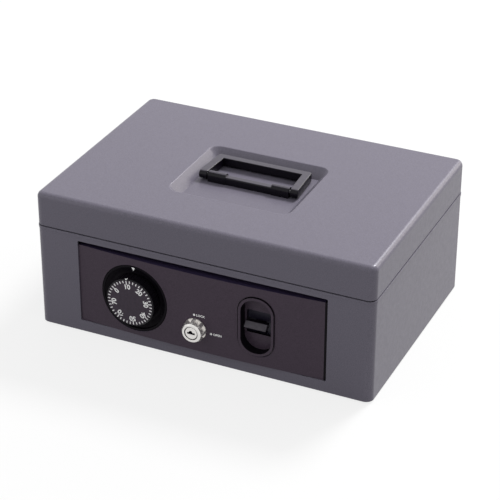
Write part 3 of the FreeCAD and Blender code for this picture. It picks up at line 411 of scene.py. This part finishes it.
def lay_on(piece, target, axis="y"):
    """Press a flat mark onto another piece, from the front or from above."""
    wrap = piece.modifiers.new("lay", "SHRINKWRAP")
    wrap.target = target
    wrap.wrap_method = "PROJECT"
    wrap.wrap_mode = "ABOVE_SURFACE"
    setattr(wrap, "use_project_" + axis, True)
    wrap.use_positive_direction = axis == "y"
    wrap.use_negative_direction = axis == "z"
    wrap.offset = INK_LIFT
    only(piece)
    bpy.ops.object.transform_apply(location=True, rotation=True, scale=True)
    bpy.ops.object.modifier_apply(modifier="lay")


def lettering(words, height, place, turn=0.0, align="CENTER", stroke=0.0):
    """Flat lettering facing the front, turned clockwise, as a mesh."""
    bpy.ops.object.select_all(action="DESELECT")
    bpy.ops.object.text_add(location=place, rotation=(math.pi / 2, turn, 0))
    text = bpy.context.object
    text.data.body = words
    text.data.size = height / CAPITAL_SHARE
    text.data.offset = stroke
    text.data.align_x = align
    text.data.align_y = "CENTER"
    bpy.ops.object.convert(target="MESH")
    return bpy.context.object


def join(pieces):
    bpy.ops.object.select_all(action="DESELECT")
    for piece in pieces:
        piece.select_set(True)
    bpy.context.view_layer.objects.active = pieces[0]
    bpy.ops.object.join()
    return pieces[0]


def around_dial(radius, turn, lift=INK_LIFT):
    """A point on the dial's face, turned clockwise from the top."""
    return Vector(
        (DIAL.x + radius * math.sin(turn), DIAL_FRONT - lift, DIAL.z + radius * math.cos(turn))
    )


# Operators


class CashBoxOperator(bpy.types.Operator):
    """Shared base of the cash box operators"""

    bl_idname = "cashbox.base"
    bl_label = "Cash box"
    bl_options = {"REGISTER", "UNDO"}

    @property
    def sizes(self):
        return bpy.context.scene.cash_box_sizes

    @property
    def colours(self):
        return bpy.context.scene.cash_box_colours


class CASHBOX_OT_finishes(CashBoxOperator):
    """Make the materials of all pieces"""

    bl_idname = "cashbox.finishes"
    bl_label = "Finishes"

    def execute(self, context):
        FINISHES.update(make_finishes(self.colours))
        return {"FINISHED"}


class CASHBOX_OT_shells(CashBoxOperator):
    """Finish the painted body and lid and the sheet steel inside them, with painted shade on the
    collar's outer faces
    """

    bl_idname = "cashbox.shells"
    bl_label = "Body and lid"

    def execute(self, context):
        dress("body_shell", 0.25 * MM)
        dress("lid_shell", 0.4 * MM)
        for node in ("bottom_plate", "tray_rail_left", "tray_rail_right"):
            dress(node, 0.2 * MM)
        collar = dress("rim_collar", 0.2 * MM)
        # Painted shade: the collar's outward faces wear the black oxide finish, darkening the gap line
        # between lid and body
        wear_where(
            collar,
            "dark_steel",
            lambda place, normal: place.xy.dot(normal.xy) > OUTWARD,
        )
        dress("feet")
        return {"FINISHED"}


class CASHBOX_OT_front_panel(CashBoxOperator):
    """Finish the bowed front panel, with painted shade on its upper face and at its right end"""

    bl_idname = "cashbox.front_panel"
    bl_label = "Front panel"

    def execute(self, context):
        panel = dress("front_panel", 0.3 * MM)
        end = PANEL_HALF - PANEL_END
        edit(panel, lambda: bpy.ops.mesh.bisect(plane_co=(end, 0, 0), plane_no=(1, 0, 0)))
        # Painted shade: the panel's upward faces get the dark edge colour
        wear_where(panel, "edge", lambda place, normal: normal.z > UPPER)
        # Painted shadow: the strip at the panel's right end wears the dull black, standing for the
        # shadow in the gap beside the body
        wear_where(panel, "ring_plastic", lambda place, normal: place.x > end)
        return {"FINISHED"}


class CASHBOX_OT_dial(CashBoxOperator):
    """Finish the dial and print its numbers, ticks and index"""

    bl_idname = "cashbox.dial"
    bl_label = "Dial"

    def execute(self, context):
        dress("dial_ring", 0.25 * MM)
        knob = dress("dial_knob", 0.2 * MM)
        wear(knob, "ring_plastic")
        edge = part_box("dial_knob")[0].y + KNOB_EDGE
        wear_where(knob, "black_plastic", lambda place, normal: place.y < edge)
        dress("dial_face", 0.2 * MM)
        self.print_numbers()
        self.print_ticks()
        self.print_pointer(knob)
        self.add_index()
        return {"FINISHED"}

    def print_numbers(self):
        sizes = self.sizes
        step = 2 * math.pi / len(NUMBERS)
        letters = []
        for number in NUMBERS:
            turn = DIAL_TURN + step * (number / 10 - 1)
            place = around_dial(sizes.numeral_radius, turn)
            letters.append(
                lettering(str(number), sizes.numeral_height, place, turn, stroke=sizes.stroke)
            )
        printed(join(letters), "dial_numbers", "dial_face")

    def tick(self, length, turn, count):
        """One tick, copied round the dial."""
        sizes = self.sizes
        bpy.ops.object.select_all(action="DESELECT")
        radius = sizes.tick_outer - length / 2
        bpy.ops.mesh.primitive_plane_add(
            size=1, location=around_dial(radius, turn), rotation=(math.pi / 2, turn, 0)
        )
        tick = bpy.context.object
        tick.scale = (sizes.tick_width, length, 1)
        bpy.ops.object.transform_apply(location=True, rotation=True, scale=True)
        edit(
            tick,
            lambda: bpy.ops.mesh.spin(
                steps=count,
                dupli=True,
                angle=2 * math.pi,
                center=(DIAL.x, DIAL_FRONT, DIAL.z),
                axis=(0, 1, 0),
            ),
            lambda: bpy.ops.mesh.select_all(action="SELECT"),
            lambda: bpy.ops.mesh.remove_doubles(threshold=0.001 * MM),
        )
        return tick

    def print_ticks(self):
        sizes = self.sizes
        short = self.tick(sizes.tick_short, DIAL_TURN, DIAL_STEPS)
        long = self.tick(sizes.tick_long, DIAL_TURN, len(NUMBERS))
        for vertex in long.data.vertices:
            vertex.co.y -= INK_LIFT / 2
        printed(join([short, long]), "dial_ticks", "dial_face")

    def print_pointer(self, knob):
        """A dot on the knob's edge, above its first number."""
        radius = self.sizes.pointer_radius
        place = around_dial(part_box("dial_knob")[1].z - DIAL.z, DIAL_TURN)
        place.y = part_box("dial_knob")[0].y + radius + KNOB_DOT_BACK
        place.z += DIAL_REACH
        bpy.ops.object.select_all(action="DESELECT")
        bpy.ops.mesh.primitive_circle_add(
            vertices=DOT_SIDES, radius=radius, fill_type="TRIFAN", location=place
        )
        knob_dot = bpy.context.object
        edit(knob_dot, lambda: bpy.ops.mesh.subdivide(number_cuts=4))
        lay_on(knob_dot, knob, "z")
        printed(knob_dot, "knob_white_dot", "dial_knob")

    def add_index(self):
        """A small white wedge in the dial ring, pointing at the dial."""
        sizes = self.sizes
        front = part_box("dial_ring")[0].y + INDEX_BACK
        bpy.ops.object.select_all(action="DESELECT")
        bpy.ops.mesh.primitive_cylinder_add(
            vertices=3,
            radius=sizes.index_width / math.sqrt(3),
            depth=INDEX_DEPTH,
            location=(DIAL.x, front + INDEX_DEPTH / 2, DIAL.z + sizes.index_radius),
            rotation=(math.pi / 2, math.pi, 0),
        )
        index = bpy.context.object
        edit(index, lambda: bpy.ops.mesh.bevel(offset=INDEX_BEVEL, segments=2))
        printed(index, "dial_index", "dial_ring")


class CASHBOX_OT_key_lock(CashBoxOperator):
    """Finish the key lock, with painted shade in its keyway and groove, and print the marks beside it
    """

    bl_idname = "cashbox.key_lock"
    bl_label = "Key lock"

    def execute(self, context):
        housing = dress("lock_housing", 0.15 * MM)
        self.taper(housing)
        plug = dress("lock_plug", 0.1 * MM)
        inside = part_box("lock_plug")[0].y + KEYWAY_BACK
        for piece, reach in ((housing, GROOVE_REACH), (plug, KEYWAY_REACH)):
            # Painted shade: the faces of the keyway and of the groove round the plug, behind its
            # front, wear the black oxide finish to darken these recesses
            wear_where(
                piece,
                "dark_steel",
                lambda place, normal: place.y > inside and from_lock(place) < reach,
            )
        panel = bpy.data.objects["finished_front_panel"]
        for word, across, up in KEY_MARKS:
            self.print_mark(word, LOCK.x + across, LOCK.z + up, panel)
        return {"FINISHED"}

    def taper(self, housing):
        """Draw in the front of the collar a little."""
        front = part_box("lock_housing")[0].y + COLLAR_TAPER_DEPTH
        edit_where(
            housing,
            lambda place: place.y < front and from_lock(place) > COLLAR_INSIDE,
            lambda: bpy.ops.transform.resize(
                value=(COLLAR_TAPER, 1, COLLAR_TAPER), center_override=LOCK
            ),
        )

    def print_mark(self, word, across, up, panel):
        """A dot with its word to the right of it."""
        sizes = self.sizes
        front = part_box("lock_housing")[0].y
        bpy.ops.object.select_all(action="DESELECT")
        bpy.ops.mesh.primitive_circle_add(
            vertices=DOT_SIDES,
            radius=sizes.dot_radius,
            fill_type="NGON",
            location=(across, front, up),
            rotation=(math.pi / 2, 0, 0),
        )
        dot = bpy.context.object
        start = (across + WORD_GAP * sizes.dot_radius, front, up)
        letters = lettering(word, sizes.word_height, start, align="LEFT", stroke=WORD_STROKE)
        mark = join([dot, letters])
        lay_on(mark, panel)
        printed(mark, "key_mark_" + word.lower(), "front_panel")


class CASHBOX_OT_thumb_slide(CashBoxOperator):
    """Finish the thumb slide and its bezel, with painted shade inside the cup and on the thumb piece's
    deep and downward faces
    """

    bl_idname = "cashbox.thumb_slide"
    bl_label = "Thumb slide"

    def execute(self, context):
        bezel = dress("slide_bezel", 0.35 * MM)
        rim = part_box("slide_bezel")[0].y + BEZEL_RIM
        # Painted shade: the cup's steep inner walls behind the rim wear the dull black, standing for
        # the shade inside the cup
        wear_where(
            bezel,
            "ring_plastic",
            lambda place, normal: place.y > rim and abs(normal.y) < STEEP,
        )
        button = dress("slide_button", 0.2 * MM)
        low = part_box("slide_button")[0].z
        # Painted shade: the button's faces deep in the cup and its downward faces wear the dull black,
        # for the shade in the scoop and under the ledge
        wear_where(
            button,
            "ring_plastic",
            lambda place, normal: place.y > rim + BUTTON_FRONT or normal.z < -0.5,
        )
        self.raise_lip(button, low)
        return {"FINISHED"}

    def raise_lip(self, button, low):
        """Lift the lower lip of the thumb piece a little and narrow the piece."""
        edit_where(
            button,
            lambda place: place.z < low + LIP_HEIGHT,
            lambda: bpy.ops.transform.translate(value=(0, 0, LIP_LIFT)),
        )
        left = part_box("slide_button")[0] + Vector((BUTTON_HOLD, 0, 0))
        edit(
            button,
            lambda: bpy.ops.transform.resize(value=(BUTTON_WIDTH, 1, 1), center_override=left),
        )


class CASHBOX_OT_handle(CashBoxOperator):
    """Finish the folding handle and its base, with painted light on their upward faces"""

    bl_idname = "cashbox.handle"
    bl_label = "Handle"

    def execute(self, context):
        for node, bevel in (("handle_bail", 0.5 * MM), ("handle_base", 0.4 * MM)):
            # Painted light: the upward faces of bail and base get the lighter colour
            wear_where(dress(node, bevel), "grip", lambda place, normal: normal.z > LEVEL)
        for node in ("handle_pins", "handle_plate", "handle_screws"):
            dress(node, 0.15 * MM)
        return {"FINISHED"}


class CASHBOX_OT_hinges(CashBoxOperator):
    """Finish the two rear hinges and their rivets"""

    bl_idname = "cashbox.hinges"
    bl_label = "Hinges"

    def execute(self, context):
        for side in ("left", "right"):
            dress(f"hinge_body_leaf_{side}", 0.2 * MM)
            dress(f"hinge_lid_leaf_{side}", 0.2 * MM)
            dress(f"hinge_pin_{side}", 0.15 * MM)
        dress("hinge_body_rivets")
        dress("hinge_lid_rivets")
        return {"FINISHED"}


class CASHBOX_OT_mechanism(CashBoxOperator):
    """Finish the lock mechanism behind the front panel"""

    bl_idname = "cashbox.mechanism"
    bl_label = "Mechanism"

    def execute(self, context):
        for node in (
            "lock_plate",
            "cover_posts",
            "mechanism_cover",
            "cover_screws",
            "dial_spindle",
            "wheel_post",
            "wheel_spacers",
            "tumbler_wheel_1",
            "tumbler_wheel_2",
            "tumbler_wheel_3",
            "drive_cam",
            "spindle_nut",
            "latch_plate",
            "latch_studs",
            "lock_nut",
            "lock_cam",
            "lock_cam_screw",
            "lid_striker",
        ):
            dress(node)
        self.press(dress("slide_spring"))
        return {"FINISHED"}

    def press(self, spring):
        """Give the spring a mesh of its own."""
        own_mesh(spring)


class CASHBOX_OT_tray(CashBoxOperator):
    """Finish the coin tray"""

    bl_idname = "cashbox.tray"
    bl_label = "Coin tray"

    def execute(self, context):
        dress("coin_tray", 0.4 * MM)
        dress("tray_dividers", 0.2 * MM)
        return {"FINISHED"}


# Stage

CAMERA_PLACE = Vector((588.40, -1287.19, 854.31)) * MM
CAMERA_AZIMUTH = math.radians(24.96)
CAMERA_ELEVATION = math.radians(29.30)
CAMERA_LENS = 133.06
CAMERA_SHIFT = (0.0185, -0.0089)
KEY_PLACE = (0.65, 1.95, 2.45)
KEY_POWER = 126
SIDE_PLACE = (0.83, 1.38, 0.72)
SIDE_POWER = 9
SIDE_COLOUR = (1.0, 0.96, 0.86)
FILL_PLACE = (-0.60, -0.60, 0.40)
FILL_POWER = 0.55
AMBIENT = 0.79
FLOOR_BOUNCE = 0.30
FLOOR_SHADOW = 0.12
FLOOR_GLOW = 0.80


class CASHBOX_OT_stage(CashBoxOperator):
    """Set up floor, light, background and camera"""

    bl_idname = "cashbox.stage"
    bl_label = "Stage"

    def execute(self, context):
        self.floor()
        self.background(context.scene)
        self.lamp("key_light", KEY_PLACE, (0, 0, 0.1), 0.85, KEY_POWER)
        self.lamp("side_light", SIDE_PLACE, (0, 0, 0.05), 1.0, SIDE_POWER, SIDE_COLOUR)
        self.lamp("fill_light", FILL_PLACE, (-0.1, -0.1, 0.06), 0.5, FILL_POWER)
        self.camera(context.scene)
        context.scene.view_settings.view_transform = "Standard"
        return {"FINISHED"}

    def floor(self):
        bpy.ops.object.select_all(action="DESELECT")
        bpy.ops.mesh.primitive_plane_add(size=12, location=(0, 0, -0.2 * MM))
        floor = bpy.context.object
        floor.name = "floor"
        material = bpy.data.materials.new("pale_floor")
        material.use_nodes = True
        tree = material.node_tree
        tree.nodes.clear()
        bounce = tree.nodes.new("ShaderNodeBsdfDiffuse")
        bounce.inputs["Color"].default_value = (*[FLOOR_BOUNCE] * 3, 1)
        matt = tree.nodes.new("ShaderNodeBsdfDiffuse")
        matt.inputs["Color"].default_value = (*[FLOOR_SHADOW] * 3, 1)
        glow = tree.nodes.new("ShaderNodeEmission")
        glow.inputs["Strength"].default_value = FLOOR_GLOW
        pale = tree.nodes.new("ShaderNodeAddShader")
        tree.links.new(matt.outputs[0], pale.inputs[0])
        tree.links.new(glow.outputs[0], pale.inputs[1])
        output = tree.nodes.new("ShaderNodeOutputMaterial")
        self.by_ray(tree, bounce.outputs[0], pale.outputs[0], output.inputs["Surface"])
        floor.data.materials.append(material)

    def by_ray(self, tree, hidden, seen, target):
        """Show one shader to the camera, in reflections and through glass, and the other elsewhere."""
        path = tree.nodes.new("ShaderNodeLightPath")
        fac = path.outputs["Is Camera Ray"]
        for name in ("Is Glossy Ray", "Is Transmission Ray"):
            either = tree.nodes.new("ShaderNodeMath")
            either.operation = "MAXIMUM"
            tree.links.new(fac, either.inputs[0])
            tree.links.new(path.outputs[name], either.inputs[1])
            fac = either.outputs[0]
        mix = tree.nodes.new("ShaderNodeMixShader")
        tree.links.new(fac, mix.inputs["Fac"])
        tree.links.new(hidden, mix.inputs[1])
        tree.links.new(seen, mix.inputs[2])
        tree.links.new(mix.outputs[0], target)

    def background(self, scene):
        world = bpy.data.worlds.new("studio")
        scene.world = world
        world.use_nodes = True
        tree = world.node_tree
        tree.nodes.clear()
        ambient = tree.nodes.new("ShaderNodeBackground")
        ambient.inputs["Color"].default_value = (1, 1, 1, 1)
        ambient.inputs["Strength"].default_value = AMBIENT
        white = tree.nodes.new("ShaderNodeBackground")
        white.inputs["Color"].default_value = (1, 1, 1, 1)
        white.inputs["Strength"].default_value = 1.0
        output = tree.nodes.new("ShaderNodeOutputWorld")
        self.by_ray(tree, ambient.outputs[0], white.outputs[0], output.inputs["Surface"])

    def lamp(self, name, place, target, size, power, colour=(1, 1, 1)):
        bpy.ops.object.select_all(action="DESELECT")
        bpy.ops.object.light_add(type="AREA", location=place)
        lamp = bpy.context.object
        lamp.name = name
        lamp.data.shape = "DISK"
        lamp.data.size = size
        lamp.data.energy = power
        lamp.data.color = colour
        aim = Vector(target) - Vector(place)
        lamp.rotation_euler = aim.to_track_quat("-Z", "Y").to_euler()

    def camera(self, scene):
        bpy.ops.object.select_all(action="DESELECT")
        turned = (math.pi / 2 - CAMERA_ELEVATION, 0, CAMERA_AZIMUTH)
        bpy.ops.object.camera_add(location=CAMERA_PLACE, rotation=turned)
        camera = bpy.context.object
        camera.data.sensor_width = 36
        camera.data.lens = CAMERA_LENS
        camera.data.shift_x, camera.data.shift_y = CAMERA_SHIFT
        camera.data.clip_start = 0.01
        camera.data.clip_end = 50
        scene.camera = camera


class CASHBOX_PT_sidebar(bpy.types.Panel):
    """Lists the steps that dress the cash box"""

    bl_idname = "CASHBOX_PT_sidebar"
    bl_label = "Cash Box"
    bl_space_type = "VIEW_3D"
    bl_region_type = "UI"
    bl_category = "Cash Box"

    def draw(self, context):
        for operator in OPERATORS:
            self.layout.operator(operator.bl_idname)
        for group in (context.scene.cash_box_colours, context.scene.cash_box_sizes):
            column = self.layout.column()
            for name in group.__annotations__:
                column.prop(group, name)


OPERATORS = (
    CASHBOX_OT_finishes,
    CASHBOX_OT_shells,
    CASHBOX_OT_front_panel,
    CASHBOX_OT_dial,
    CASHBOX_OT_key_lock,
    CASHBOX_OT_thumb_slide,
    CASHBOX_OT_handle,
    CASHBOX_OT_hinges,
    CASHBOX_OT_mechanism,
    CASHBOX_OT_tray,
    CASHBOX_OT_stage,
)
CLASSES = (CashBoxColours, CashBoxSizes, *OPERATORS, CASHBOX_PT_sidebar)


def register():
    for cls in CLASSES:
        bpy.utils.register_class(cls)
    bpy.types.Scene.cash_box_colours = PointerProperty(type=CashBoxColours)
    bpy.types.Scene.cash_box_sizes = PointerProperty(type=CashBoxSizes)


def unregister():
    del bpy.types.Scene.cash_box_sizes
    del bpy.types.Scene.cash_box_colours
    for cls in reversed(CLASSES):
        bpy.utils.unregister_class(cls)


def main():
    register()
    for operator in OPERATORS:
        category, name = operator.bl_idname.split(".")
        getattr(getattr(bpy.ops, category), name)()


if __name__ == "__main__":
    main()
